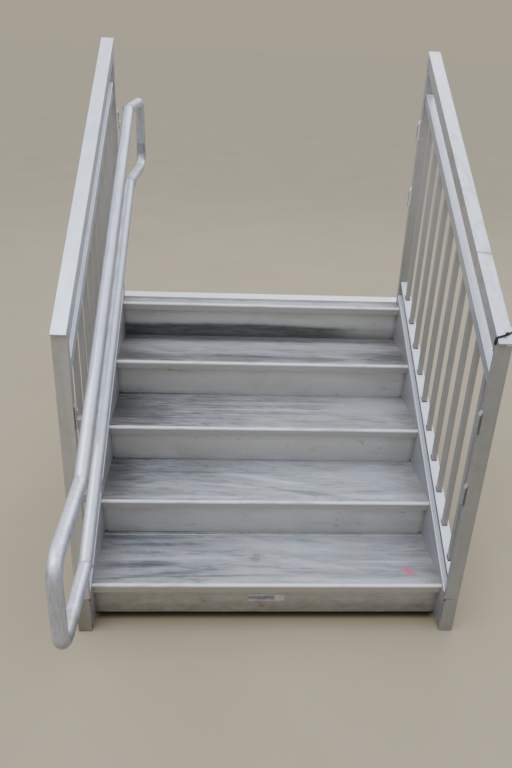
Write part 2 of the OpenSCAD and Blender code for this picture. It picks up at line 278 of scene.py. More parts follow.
def smudges(m, col, rows, seed):
    """Soft streaks at given places: centre, half sizes, turn and strength; a negative strength is pale."""
    rag = m.sway(m.noise(m.stretch((5, 52, 3), 0.0, (seed, 2, 9)), 1.0, 5.0, 0.64, 0.7), 2.6)
    facing = m.top()
    for x, y, rx, ry, turn, amount in rows:
        c = at(x, y, 0)
        v = m.node("ShaderNodeMapping", {"Vector": m.pos, "Location": tuple(c), "Rotation": (0, 0, turn),
                                         "Scale": (rx, ry, 1000)}, vector_type="TEXTURE").outputs[0]
        mask = m.span(m.plus(m.measure("LENGTH", v), rag), 1.40, 0.40, smooth=True)
        mask = m.times(mask, facing, abs(amount))
        col = m.tint(mask, col, (0.38, 0.38, 0.39)) if amount > 0 else m.mix(mask, col, (0.73, 0.765, 0.83))
    return col


def tread_marks(m, col, rows, seed, left, front, patch=0.40, wide=0.55, scratch=0.35, light=0.45):
    """Stains, scuffs and scratches across the width, the pale scratches painted as glints, a painted highlight along
    the nosing, grime at the ends, and painted shade at the back under the next nosing.

    rows are the tread's own smudges and seed moves its noise. The rest are strengths: left and front of the darkening
    at those sides, patch and wide of the stains, scratch of the dark lines and light of the pale ones.
    """
    x, y, z = m.x, m.y, m.z
    facing = m.top()
    big = m.noise(m.stretch((3.0, 12, 2), 0.0, (seed, 3, 1), 0.06), 1.0, 5.0, 0.62, 0.9)
    long = m.noise(m.stretch((6.0, 42, 3), 0.0, (seed + 2, 0, 7), 0.05), 1.0, 6.0, 0.64, 1.5)
    lines = m.noise(m.stretch((6, 150, 4), 0.0, (9, seed + 4, 2), -0.02), 1.0, 4.0, 0.66, 0.6)
    glint = m.noise(m.stretch((8, 95, 4), 0.0, (1, 8 - seed, 5), 0.10), 1.0, 5.0, 0.66, 1.2)
    warm = m.noise(m.stretch((5, 18, 4), 0.0, (seed, 5, 5), -0.1), 1.0, 4.0, 0.6, 0.8)
    grit = m.noise(m.pos, 240.0, 3.0, 0.7)
    col = smear(m, col, m.times(m.span(big, 0.54, 0.38), facing), patch, (0.55, 0.55, 0.56))
    col = m.mix(m.times(m.span(big, 0.50, 0.66), facing, 0.40), col, (0.62, 0.65, 0.71))
    col = smear(m, col, m.times(m.span(long, 0.48, 0.36), facing), wide)
    busy = m.span(x, 0.34, -0.10, 0.35, 1.0)
    col = smear(m, col, m.times(m.span(lines, 0.44, 0.35), busy, facing), scratch, (0.42, 0.42, 0.44))
    # pale bluish scratch lines: real scratches, painted as glints that stand for a highlight
    col = m.mix(m.times(m.span(glint, 0.54, 0.66), facing, busy, light), col, (0.72, 0.77, 0.86))
    col = smudges(m, col, rows, seed)
    worn_left = m.times(m.span(x, 0.0, -0.60), m.span(long, 0.64, 0.36, 0.55, 1.0))
    col = smear(m, col, m.times(worn_left, facing), left, (0.44, 0.43, 0.415))
    col = m.tint(m.times(m.span(warm, 0.46, 0.62), facing), col, (1.0, 0.955, 0.89))
    col = m.tint(m.times(m.span(grit, 0.54, 0.36), 0.34), col, (0.55, 0.55, 0.55))
    ends = m.plus(m.size(x), m.sway(long, 0.20))
    col = smear(m, col, m.times(m.span(ends, 0.50, NOSING_W), facing), 0.62, (0.64, 0.57, 0.48))
    row = m.math("ROUND", m.math("DIVIDE", m.minus(z, 0.020), RISE))  # the tread's number, at any depth of its plank
    step = m.minus(m.plus(y, MID_Y), m.times(m.minus(row, 1.0), RUN))  # how far behind its nosing
    ahead = m.times(m.span(step, 0.18, 0.04), m.span(big, 0.66, 0.40, 0.6, 1.0))
    col = smear(m, col, m.times(ahead, facing), front, (0.60, 0.60, 0.60))
    # painted shade: darker at the back of the tread, under the overhang of the next nosing
    back = m.plus(step, m.sway(long, 0.05))
    col = smear(m, col, m.times(m.span(back, RUN + 0.005, RUN + OVERHANG), facing), 0.40, (0.50, 0.49, 0.46))
    rim = m.times(m.span(m.size(x), NOSING_W - 0.011, NOSING_W - 0.001), m.minus(1.0, facing))
    col = smear(m, col, rim, 0.50, (0.48, 0.46, 0.43))
    # painted highlight: a pale band round the curve of each nosing, broken up where it is worn
    up = m.xyz(m.geo.outputs["Normal"])[2]
    nose_highlight = m.times(m.span(up, 0.02, 0.42), m.span(up, 0.95, 0.72), m.span(step, NOSE_R - 0.0005, NOSE_R - 0.0015))
    worn = m.noise(m.stretch((7, 50, 50), 0.0, (seed, 0, 0)), 1.0, 5.0, 0.65)
    nose_highlight = m.times(nose_highlight, m.span(worn, 0.32, 0.48, 0.45, 1.0))
    return m.mix(nose_highlight, col, (0.96, 0.975, 1.0))


def riser_marks(m, col, foot=0.35, seed=0.0):
    """Grime along the foot, mostly at the left, a dark line of painted shadow right at the foot, black painted shade
    in its corners, and an upper half painted paler as light so that it runs into the tread's front.
    """
    x = m.x
    step = m.math("FLOORED_MODULO", m.z, RISE)
    ragged = m.noise(m.stretch((9, 5, 22), 0.0, (seed, 0, 4)), 1.0, 6.0, 0.65)
    low = m.span(m.plus(step, m.sway(ragged, 0.09)), 0.026, 0.0)
    low = m.times(low, m.span(x, 0.1, -0.5, 0.45, 1.0))
    col = smear(m, col, low, foot, (0.45, 0.43, 0.40))
    # painted shadow: a dark line right at the riser's foot, where it meets the tread
    line = m.times(m.span(step, 0.0035, 0.0015), m.span(ragged, 0.36, 0.50, 0.25, 1.0))
    line = m.times(line, m.span(m.plus(x, m.times(ragged, 0.3)), 0.02, -0.35, 0.22, 1.0))
    col = smear(m, col, line, 0.85, (0.16, 0.15, 0.14))
    # painted light: the upper part of each riser is made paler, so it runs into the tread's front without the shade
    # under the nosing
    upper = m.times(m.span(step, 0.045, 0.165), m.span(x, -0.6, 0.6, 0.55, 0.95))
    col = m.mix(upper, col, (0.72, 0.71, 0.67))
    spots = m.span(m.noise(m.stretch((22, 22, 40), 0.0, (5, 1, 3 + seed)), 1.0, 3.0, 0.6), 0.66, 0.71)
    col = smear(m, col, spots, 0.45, (0.45, 0.42, 0.38))
    dull = m.noise(m.stretch((4, 4, 9), 0.0, (seed, 6, 0)), 1.0, 5.0, 0.6, 0.4)
    col = smear(m, col, m.span(dull, 0.52, 0.34), 0.35, (0.68, 0.67, 0.65))
    rim = m.plus(m.size(x), m.sway(ragged, 0.012))
    col = smear(m, col, m.span(rim, NOSING_W - 0.021, NOSING_W - 0.001), 0.50, (0.50, 0.48, 0.45))
    # painted shade: black in the corners at each end of the riser's foot
    for side in (-1, 1):
        col = m.mix(m.times(corner(m, side), 0.8), col, (0.06, 0.06, 0.06))
    return col


def corner(m, side):
    """Black painted shade in the corner at a riser's foot."""
    step = m.math("FLOORED_MODULO", m.z, RISE)
    dx = m.times(m.minus(m.x, side * (NOSING_W + 0.004)), 0.45)
    d = m.math("SQRT", m.plus(m.times(dx, dx), m.times(step, step)))
    d = m.plus(d, m.sway(m.noise(m.pos, 55.0, 4.0, 0.65), 0.012))
    return m.span(d, 0.012, 0.005)


def low_riser(m, col):
    """The first riser: muddy, and painted black along its bottom edge as the shadow of the gap above the ground."""
    col = riser_marks(m, col, 0.25, 3.0)
    z = m.z
    rag = m.noise(m.stretch((8, 5, 30)), 1.0, 5.0, 0.65)
    col = smear(m, col, m.span(z, 0.155, 0.10), 0.55, (0.62, 0.60, 0.57))
    blots = m.noise(m.stretch((13, 8, 22), 0.0, (2, 4, 1)), 1.0, 5.0, 0.66, 0.6)
    col = smear(m, col, m.span(blots, 0.50, 0.34), 0.45, (0.62, 0.60, 0.56))
    col = m.mix(m.times(m.span(blots, 0.54, 0.68), 0.35), col, (0.44, 0.42, 0.38))
    seam = m.times(m.span(m.size(m.minus(z, RISE - PLANK_T - 0.003)), 0.006, 0.001), m.span(rag, 0.46, 0.60))
    col = smear(m, col, seam, 0.7, (0.45, 0.40, 0.33))
    # painted shadow: black along the bottom edge, for the shade in the gap under the riser
    edge = m.plus(z, m.sway(rag, 0.005))
    return m.mix(m.span(edge, 0.0155, 0.0115), col, (0.012, 0.010, 0.009))


def riser_black_foot(m, col):
    """A black band along the foot of the last riser, thinning out to the right."""
    col = riser_marks(m, col, 0.2, 7.0)
    x = m.x
    rag = m.noise(m.stretch((7, 6, 16)), 1.0, 6.0, 0.68)
    top = m.plus(m.span(x, -0.62, -0.20, 0.0600, 0.0665), m.span(x, 0.0, 0.64, 0.0, -0.018))
    edge = m.plus(m.minus(m.minus(m.z, (STEPS - 1) * RISE), top), m.sway(rag, 0.016))
    mark = m.span(edge, 0.006, -0.010)
    cloud = m.noise(m.stretch((9, 10, 75), 0.0, (4, 0, 0)), 1.0, 6.0, 0.68, 0.6)
    mark = m.times(mark, m.span(cloud, 0.34, 0.60, 0.78, 0.98))
    weak = m.times(m.span(x, 0.30, 0.52, smooth=True), m.span(edge, -0.045, -0.020, 0.45, 0.86))
    mark = m.times(mark, m.minus(1.0, weak))
    col = smear(m, col, m.span(edge, 0.022, -0.004), 0.35, (0.55, 0.54, 0.52))
    return m.mix(mark, col, (0.060, 0.061, 0.058))


def loop(m, cx, cy, rx, ry, w):
    """A ragged oval line on a tread."""
    c = at(cx, cy, 0)
    dx = m.math("DIVIDE", m.minus(m.x, c.x), rx)
    dy = m.math("DIVIDE", m.minus(m.y, c.y), ry)
    d = m.math("SQRT", m.plus(m.times(dx, dx), m.times(dy, dy)))
    d = m.plus(d, m.sway(m.noise(m.pos, 120.0, 3.0, 0.6), 0.5))
    return m.span(m.size(m.minus(d, 1.0)), w * 1.4, w * 0.5)


def tread_one(m, col):
    """Dull patches at the left, a scuff in the middle and a scribble of pink paint at the right."""
    rows = [(-0.50, 0.274, 0.19, 0.012, 0.0, 0.60), (-0.449, 0.230, 0.20, 0.011, 0.02, 0.60),
            (-0.478, 0.182, 0.10, 0.013, -0.03, 0.45), (-0.500, 0.112, 0.17, 0.020, 0.03, 0.85),
            (-0.400, 0.056, 0.22, 0.014, 0.12, 0.80), (-0.240, 0.046, 0.32, 0.006, 0.03, 0.70),
            (0.125, 0.068, 0.10, 0.006, -0.02, 0.40), (-0.360, 0.148, 0.24, 0.010, 0.03, -0.55),
            (0.030, 0.225, 0.25, 0.030, -0.10, -0.45), (0.330, 0.027, 0.32, 0.014, 0.0, -0.55),
            (0.450, 0.132, 0.16, 0.007, 0.0, -0.55), (0.10, 0.115, 0.22, 0.020, -0.04, -0.30)]
    col = tread_marks(m, col, rows, 0.0, left=0.45, front=0.60)
    col = smear(m, col, m.blob(at(-0.040, 0.148, RISE), 0.024, 75.0, 1.9), 0.50, (0.42, 0.42, 0.43))
    pink = m.math("MAXIMUM", loop(m, 0.539, 0.086, 0.0070, 0.0112, 0.44), loop(m, 0.552, 0.078, 0.0075, 0.0112, 0.44))
    pink = m.math("MAXIMUM", pink, loop(m, 0.549, 0.068, 0.0112, 0.0070, 0.40))
    return m.mix(m.times(pink, m.top(), 0.88), col, (0.82, 0.10, 0.22))


def tread_two(m, col):
    """Dark at its left end, with pale slanting scuffs."""
    rows = [(-0.610, 0.43, 0.09, 0.14, 0.0, 0.50), (-0.320, 0.488, 0.19, 0.011, 0.0, 0.60),
            (-0.030, 0.486, 0.11, 0.009, 0.0, 0.45), (0.150, 0.345, 0.20, 0.014, -0.20, 0.70),
            (-0.420, 0.430, 0.18, 0.016, 0.03, 0.35), (-0.340, 0.305, 0.24, 0.011, 0.02, -0.65),
            (0.000, 0.440, 0.18, 0.014, -0.24, -0.70), (-0.160, 0.392, 0.18, 0.010, -0.12, -0.60),
            (0.330, 0.480, 0.22, 0.030, 0.0, -0.35), (0.420, 0.320, 0.20, 0.016, 0.0, -0.35)]
    return tread_marks(m, col, rows, 3.1, left=0.85, front=0.12)


def tread_three(m, col):
    """The most scratched of the treads."""
    rows = [(-0.570, 0.700, 0.19, 0.110, 0.0, 0.62), (-0.30, 0.640, 0.25, 0.012, 0.0, 0.45),
            (-0.10, 0.760, 0.30, 0.010, 0.0, 0.40), (0.02, 0.690, 0.26, 0.008, 0.0, 0.45),
            (-0.20, 0.810, 0.36, 0.007, 0.0, 0.40), (0.520, 0.760, 0.24, 0.080, 0.0, -0.45),
            (-0.05, 0.725, 0.30, 0.007, 0.0, -0.60), (0.08, 0.790, 0.20, 0.010, 0.0, -0.40)]
    return tread_marks(m, col, rows, 5.7, left=0.95, front=0.40, patch=0.35, wide=0.60, scratch=0.85, light=0.75)


def tread_four(m, col):
    """Cloudy, and black at the foot of the last riser."""
    rows = [(0.040, 1.040, 0.80, 0.034, 0.0, -0.45), (-0.180, 0.914, 0.27, 0.020, 0.0, 0.65),
            (0.560, 0.933, 0.17, 0.036, 0.0, 0.75), (-0.580, 0.900, 0.13, 0.040, 0.0, 0.50),
            (0.250, 0.902, 0.28, 0.014, 0.0, 0.55), (0.000, 0.880, 0.80, 0.026, 0.0, 0.45)]
    col = tread_marks(m, col, rows, 8.2, left=0.35, front=0.80)
    rag = m.noise(m.stretch((5, 24, 20), 0.0, (6, 2, 0)), 1.0, 6.0, 0.66, 0.5)
    back = m.plus(m.y, m.sway(rag, 0.034))
    foot = TOP_Y - MID_Y + OVERHANG
    mark = m.times(m.span(back, foot - 0.074, foot - 0.050), m.span(rag, 0.30, 0.62, 1.0, 0.70))
    mark = m.times(mark, m.span(m.x, 0.10, 0.60, 1.0, 0.40), 0.88)
    return m.mix(mark, col, (0.095, 0.096, 0.094))


def top_marks(m, col):
    """The narrow top tread: one dark band along its back."""
    return tread_marks(m, col, [(0.0, 1.180, 0.9, 0.020, 0.0, 0.75)], 1.4, left=0.2, front=0.2)


def rail_flecks(m, col):
    """Small grey stains that lie along the rail."""
    n = m.noise(m.stretch((60, 22, 60), -ANGLE, (2, 2, 2)), 1.0, 3.0, 0.6)
    big = m.noise(m.pos, 5.0, 3.0, 0.6)
    flecks = m.times(m.span(n, 0.62, 0.72), m.span(big, 0.42, 0.60, 0.35, 1.0))
    col = smear(m, col, flecks, 0.42, (0.55, 0.52, 0.52))
    haze = m.noise(m.stretch((34, 9, 34), -ANGLE, (4, 7, 2)), 1.0, 5.0, 0.66, 0.6)
    return smear(m, col, m.span(haze, 0.50, 0.34), 0.30, (0.62, 0.62, 0.65))


def handrail_marks(m, col):
    """Dull stains on the bends, grey flecks along the tube, and grime at the joints."""
    col = rail_flecks(m, col)
    mottle = m.noise(m.stretch((34, 16, 34), -ANGLE, (6, 1, 4)), 1.0, 4.0, 0.65, 0.4)
    col = smear(m, col, m.span(mottle, 0.46, 0.34), 0.30, (0.58, 0.58, 0.60))
    grain = m.noise(m.stretch((120, 90, 14), 0.0, (1, 6, 2)), 1.0, 5.0, 0.70, 0.3)
    bends = m.math("MAXIMUM", m.span(m.y, -0.30 - MID_Y, -0.36 - MID_Y), m.span(m.y, 1.06 - MID_Y, 1.10 - MID_Y))
    col = smear(m, col, m.span(grain, 0.52, 0.36), m.span(bends, 0.0, 1.0, 0.12, 0.42), (0.50, 0.50, 0.52))
    col = smear(m, col, m.blob(at(RAIL_X, 1.470, 1.520), 0.045, 30.0, 0.6), 0.45, (0.50, 0.46, 0.40))
    col = smear(m, col, m.blob(at(RAIL_X, -0.645, 0.560), 0.095, 24.0, 0.5), 0.60, (0.48, 0.44, 0.38))
    for y, z in handrail_joints():
        col = smear(m, col, m.blob(at(RAIL_X, y, z), 0.026, 45.0, 0.5), 0.40, (0.45, 0.45, 0.47))
    return col


def plate_marks(m, col):
    """Bevelled ends painted bright as a highlight, sides as dull as the post, pale fronts on the rear plates, and
    painted shade down the front of the front plates, next to the post on the left ones and over the whole front on
    the right ones.
    """
    x, y = m.x, m.y
    # painted highlight: both bevelled ends are made bright, most on the rear plates
    bevel = m.span(m.size(m.nz), 0.2, 0.4)
    col = m.mix(bevel, col, m.mix(m.span(y, 0.0, 0.2), (0.47, 0.49, 0.52), (0.90, 0.91, 0.94)))
    front = m.span(m.ny, -0.5, -0.9)
    # painted shade: the gap between the front plates and the post is made dark
    near = m.math("MAXIMUM", m.span(m.size(x), NOSING_W - 0.0050, NOSING_W - 0.0035), m.span(x, 0.0, 0.1))
    dark = m.times(near, front, m.span(y, 0.1, 0.0))
    col = m.mix(m.times(front, m.span(y, 0.1, 0.2)), col, (0.80, 0.80, 0.82))
    return m.mix(m.times(dark, 0.92), col, (0.115, 0.105, 0.098))


def paler_with_height(m, col, amount, tone):
    """Paler toward the top of the flight."""
    upward = m.span(m.z, 0.95, 1.75, smooth=True)
    return m.mix(m.times(upward, amount), col, tone)


def post_marks(m, col):
    """Faint rain runs, sides painted bluish as light from the sky, and a scatter of dark pits."""
    # painted light: faces that look along x are tinted bluish, as if lit by the sky
    col = m.mix(m.times(m.span(m.size(m.nx), 0.6, 0.9), 0.75), col, (0.318, 0.314, 0.320))
    col = paler_with_height(m, col, 0.55, (0.50, 0.49, 0.49))
    runs = m.noise(m.stretch((42, 42, 2.2), 0.0, (3, 3, 3)), 1.0, 4.0, 0.6, 0.3)
    col = smear(m, col, m.span(runs, 0.46, 0.34), 0.14, (0.60, 0.58, 0.55))
    cloud = m.noise(m.pos, 14.0, 5.0, 0.62)
    col = smear(m, col, m.span(cloud, 0.52, 0.36), 0.20, (0.62, 0.62, 0.58))
    pits = m.noise(m.stretch((90, 90, 60)), 1.0, 2.0, 0.5)
    return smear(m, col, m.span(pits, 0.74, 0.78), 0.6, (0.35, 0.33, 0.30))


def leg_marks(m, col):
    """Muddy toward the ground."""
    mud = m.noise(m.pos, 22.0, 5.0, 0.65)
    low = m.times(m.span(m.z, 0.14, 0.0), m.span(mud, 0.36, 0.56, 0.4, 1.0))
    return smear(m, col, low, 0.45, (0.62, 0.56, 0.46))


def picket_marks(m, col):
    """Sides painted bluer as light from the sky, and a paler upper end."""
    # painted light: faces that look along x are tinted bluer, as if lit by the sky
    col = m.mix(m.times(m.span(m.size(m.nx), 0.6, 0.9), 0.45), col, (0.335, 0.332, 0.335))
    return paler_with_height(m, col, 0.62, (0.47, 0.455, 0.45))


def stained_rail(m, col):
    """The rusty tide line across the right top rail."""
    y = m.y
    d = m.size(m.minus(m.plus(y, m.times(m.x, 0.05)), 0.2815 - MID_Y))
    d = m.plus(d, m.sway(m.noise(m.pos, 70.0, 4.0, 0.6), 0.012))
    blot = m.noise(m.stretch((26, 11, 26), -ANGLE, (8, 2, 3)), 1.0, 6.0, 0.70, 0.8)
    lower = m.span(y, 0.95 - MID_Y, 0.55 - MID_Y, 0.25, 1.0)
    col = smear(m, col, m.times(m.span(blot, 0.50, 0.36), lower), 0.55, (0.62, 0.62, 0.64))
    col = m.mix(m.times(m.span(d, 0.006, 0.001), 0.75), col, (0.42, 0.22, 0.11))
    return rail_flecks(m, col)


FRONT, RISER = (0.36, 0.355, 0.345), (0.44, 0.435, 0.42)
DULL, SATIN, CLEAN = (0.42, 0.62), (0.42, 0.58), (0.34, 0.48)  # spans of roughness


def tread_metal(name, up, marks, side=FRONT):
    return aluminium(name, up, side, "x", 0.30, DULL, 0.12, 0.5, marks)


def riser_metal(name, marks, up=RISER, side=RISER, stain=0.12):
    return aluminium(name, up, side, "x", 0.25, DULL, stain, 0.6, marks)


def rail_metal(name, up, side, metallic, stain, soft, marks=None):
    return aluminium(name, up, side, "slope", metallic, CLEAN, stain, soft, marks)


def post_metal(name, up, side, stain, soft, marks, edge=0.0022):
    return aluminium(name, up, side, "z", 0.45, SATIN, stain, soft, marks, edge)


# The aluminium of each node, or of the slot, the finish or the copy with painted shade that it falls under
MATS = {
    "tread_1": tread_metal("tread_aluminium_marked", (0.50, 0.525, 0.57), tread_one, (0.355, 0.33, 0.30)),
    "tread_2": tread_metal("tread_aluminium_b", (0.475, 0.50, 0.54), tread_two),
    "tread_3": tread_metal("tread_aluminium_scratched", (0.445, 0.455, 0.470), tread_three),
    "tread_4": tread_metal("tread_aluminium_grimy", (0.415, 0.42, 0.425), tread_four),
    "top_tread": tread_metal("top_tread_aluminium", (0.46, 0.47, 0.49), top_marks),
    "riser": riser_metal("riser_aluminium", riser_marks),
    "riser_1": riser_metal("riser_aluminium_low", low_riser, (0.38, 0.36, 0.32), (0.385, 0.360, 0.315), 0.14),
    "riser_5": riser_metal("riser_aluminium_black_foot", riser_black_foot),
    "stringer": aluminium("stringer_aluminium", (0.74, 0.78, 0.86), (0.42, 0.43, 0.45),
                          "slope", 0.55, (0.36, 0.52), 0.20, 0.6),
    "flange": aluminium("flange_aluminium", (0.98, 0.98, 0.98), (0.60, 0.60, 0.62),
                        "x", 0.35, (0.34, 0.50), 0.04, 0.4),
    "rail": rail_metal("rail_aluminium", (0.87, 0.93, 1.00), (0.44, 0.465, 0.52), 0.66, 0.06, 0.35, rail_flecks),
    "rail_stained": rail_metal("rail_aluminium_stained", (0.90, 0.935, 0.99), (0.46, 0.465, 0.50),
                               0.66, 0.08, 0.35, stained_rail),
    # the bottom rails: their sides painted dark as painted shade in the gap above the stringer
    "rail_shaded_sides": rail_metal("rail_aluminium_low_shaded_sides", (0.89, 0.92, 0.97), (0.20, 0.21, 0.24), 0.50, 0.06, 0.4),
    "picket": post_metal("picket_aluminium", (0.43, 0.42, 0.41), (0.325, 0.323, 0.312),
                         0.12, 0.45, picket_marks, 0.0015),
    "handrail": aluminium("handrail_aluminium", (0.84, 0.88, 0.97), (0.50, 0.53, 0.61),
                          "slope", 0.66, (0.28, 0.42), 0.12, 0.6, handrail_marks, 0.001),
    "bracket": aluminium("bracket_aluminium", (0.86, 0.87, 0.90), (0.32, 0.315, 0.31),
                         "z", 0.50, (0.34, 0.50), 0.12, 0.5, plate_marks, 0.0015),
    "post": post_metal("post_aluminium", (0.55, 0.55, 0.55), (0.307, 0.310, 0.296), 0.10, 0.35, post_marks),
    "leg_dark": post_metal("leg_aluminium_dark", (0.50, 0.49, 0.47), (0.243, 0.230, 0.203), 0.12, 0.4, leg_marks),
    "post_pale": post_metal("post_aluminium_pale", (0.60, 0.60, 0.60), (0.425, 0.42, 0.39), 0.10, 0.35, post_marks),
    "underframe": aluminium("underframe_aluminium", (0.50, 0.50, 0.51), (0.38, 0.38, 0.37),
                            "x", 0.45, SATIN, 0.20, 0.8),
}


def simple(name, colour, rough, metallic, vary, scale):
    """A small part's material with a little unevenness in its tone and gloss."""
    m = Mat(name)
    n = m.noise(m.pos, scale, 4.0, 0.6)
    col = m.tint(m.times(m.span(n, 0.62, 0.38), vary * 2), colour, (0.6, 0.6, 0.6))
    r = m.span(n, 0.3, 0.7, max(0.05, rough - 0.08), rough + 0.08)
    return m.finish(col, r, metallic, m.bump(n, 0.12, 0.001))


def ripple_weld(name, colour):
    """Weld metal, rippled and sooty in places."""
    m = Mat(name)
    n = m.noise(m.pos, 220.0, 3.0, 0.6)
    big = m.noise(m.pos, 24.0, 3.0, 0.6)
    col = m.tint(m.span(n, 0.65, 0.4, 0.0, 0.6), colour, (0.42, 0.41, 0.40))
    col = m.tint(m.span(big, 0.62, 0.42, 0.0, 0.5), col, (0.5, 0.48, 0.46))
    return m.finish(col, m.span(n, 0.3, 0.7, 0.30, 0.5), 0.7, m.bump(n, 0.4, 0.0008))


def label_film():
    """A faded blank label: a rubbed grey field and a paler margin at its right, top and bottom."""
    m = Mat("label_film")
    rub = m.noise(m.stretch((34, 40, 26)), 1.0, 4.0, 0.60, 0.3)
    col = m.mix(m.span(rub, 0.34, 0.66), (0.13, 0.135, 0.14), (0.27, 0.28, 0.29))
    off = m.size(m.minus(m.z, sum(LABEL_Z) / 2))
    margin = m.math("MAXIMUM", m.span(m.x, 0.022, 0.030), m.span(off, 0.0085, 0.0105))
    col = m.mix(margin, col, m.mix(m.span(rub, 0.36, 0.64), (0.38, 0.39, 0.40), (0.50, 0.51, 0.52)))
    return m.finish(col, m.span(rub, 0.3, 0.7, 0.32, 0.48), 0.1, m.bump(rub, 0.1, 0.0006))


WELD = ripple_weld("weld_bead", (0.50, 0.50, 0.51))
WELD_PALE = ripple_weld("weld_bead_pale", (0.74, 0.75, 0.79))
# dark weld metal for the picket feet: painted shadow where the pickets meet the bottom rail
WELD_DARK = ripple_weld("weld_bead_dark_shade", (0.13, 0.125, 0.12))
STEEL = simple("screw_steel", (0.45, 0.45, 0.46), 0.32, 0.9, 0.2, 140.0)
BLACK = simple("tie_black_nylon", (0.012, 0.012, 0.014), 0.42, 0.0, 0.2, 90.0)
CARD = simple("tag_white_card", (0.88, 0.90, 0.90), 0.55, 0.0, 0.06, 40.0)
SHADE = simple("joint_shadow", (0.03, 0.03, 0.03), 0.8, 0.0, 0.3, 90.0)
FILM = label_film()

# the bottom rails take the copy whose sides carry painted shade
FINISHES_AND_SHADE = {"front_post_left": "post_pale", "front_leg_left": "leg_dark", "top_rail_right": "rail_stained",
            "bottom_rail_left": "rail_shaded_sides", "bottom_rail_right": "rail_shaded_sides"}
SLOTS = {s["node"]: s["material_slot"] for s in frame["record"]["subparts"]}
for node, obj in frame["nodes"].items():
    key = node if node in MATS else FINISHES_AND_SHADE.get(node, SLOTS[node])
    obj.data.materials.clear()
    obj.data.materials.append(MATS[key])


# Pieces
def piece(name, verts, faces, mat, smooth):
    """A mesh that rides on the body, with its normals turned outward."""
    mesh = bpy.data.meshes.new(name)
    mesh.from_pydata([tuple(v) for v in verts], [], faces)
    mesh.materials.append(mat)
    mesh.validate()
    bm = bmesh.new()
    bm.from_mesh(mesh)
    bmesh.ops.recalc_face_normals(bm, faces=bm.faces)
    bm.to_mesh(mesh)
    bm.free()
    for p in mesh.polygons:
        p.use_smooth = smooth
    obj = bpy.data.objects.new(name, mesh)
    bpy.context.scene.collection.objects.link(obj)
    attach(obj, "root")


def circle(n):
    """n points round a circle of radius 1."""
    return [(math.cos(2 * math.pi * i / n), math.sin(2 * math.pi * i / n)) for i in range(n)]


def ring_faces(rings, n, closed=False):
    """Faces of a solid whose corners come in rings of n: joined end to end, or capped."""
    faces = []
    for j in range(rings if closed else rings - 1):
        a, b = j * n, (j + 1) % rings * n
        faces += [(a + i, a + (i + 1) % n, b + (i + 1) % n, b + i) for i in range(n)]
    if not closed:
        faces += [tuple(range(n)), tuple((rings - 1) * n + i for i in range(n))]
    return faces


def resample(path, closed, pitch):
    """Points along a path, about a pitch apart."""
    pts = [Vector(p) for p in path]
    if closed:
        pts.append(pts[0].copy())
    out = []
    for a, b in zip(pts, pts[1:]):
        n = max(1, round((b - a).length / pitch))
        out += [a.lerp(b, i / n) for i in range(n)]
    if not closed:
        out.append(pts[-1])
    return out


class Shape:
    """Gathers closed solids into one mesh."""

    def __init__(self):
        self.verts, self.faces = [], []

    def add(self, verts, rings, n, closed=False):
        start = len(self.verts)
        self.verts += verts
        self.faces += [tuple(i + start for i in f) for f in ring_faces(rings, n, closed)]

    def sweep(self, path, radius, ripple, pitch, sides=7, closed=False):
        """A round bead along a path, its radius rippling as a weld's does, and tapered at an open end."""
        pts = resample(path, closed, pitch)
        k = len(pts)
        up = Vector((0.31, 0.22, 0.92)).normalized()  # along no edge of the unit
        verts = []
        for i, p in enumerate(pts):
            a = pts[(i - 1) % k] if closed or i else p
            b = pts[(i + 1) % k] if closed or i < k - 1 else p
            t = (b - a).normalized()
            n = t.cross(up)
            n = n.normalized() if n.length > 0.05 else t.cross(Vector((1, 0, 0))).normalized()
            w = t.cross(n)
            r = radius * (1 + ripple * (random.random() - 0.5) * 2)
            if not closed and i in (0, k - 1):
                r *= 0.35
            verts += [p + n * (r * c) + w * (r * s) for c, s in circle(sides)]
        self.add(verts, k, sides, closed)

    def turn(self, centre, rows, sides):
        """A solid about the axis of x, from rows of radius and offset."""
        axis = Vector((1, 0, 0))
        u = axis.orthogonal().normalized()
        v = axis.cross(u)
        verts = [centre + axis * off + (u * c + v * s) * rad for rad, off in rows for c, s in circle(sides)]
        self.add(verts, len(rows), sides)

    def make(self, name, mat, slot, smooth=False):
        piece(name, self.verts, self.faces, mat, smooth)


def slope_frame(x, w, y0, y1, h):
    """Corners of a sloping rectangle about x."""
    return [at(x + sx * w / 2, y, level(y, h)) for sx, y in ((-1, y0), (1, y0), (1, y1), (-1, y1))]


def upright_frame(x, w, y, z0, z1):
    """Corners of an upright rectangle in the plane of y."""
    return [at(x + sx * w / 2, y, z) for sx, z in ((-1, z0), (1, z0), (1, z1), (-1, z1))]


def side_frame(x, y0, y1, z0, z1):
    """Corners of a rectangle in the plane of x."""
    return [at(x, y, z) for y, z in ((y0, z0), (y1, z0), (y1, z1), (y0, z1))]


# Welds of the guards and the stringers
SKIN = 0.0005  # how far a bead's middle stands off the metal

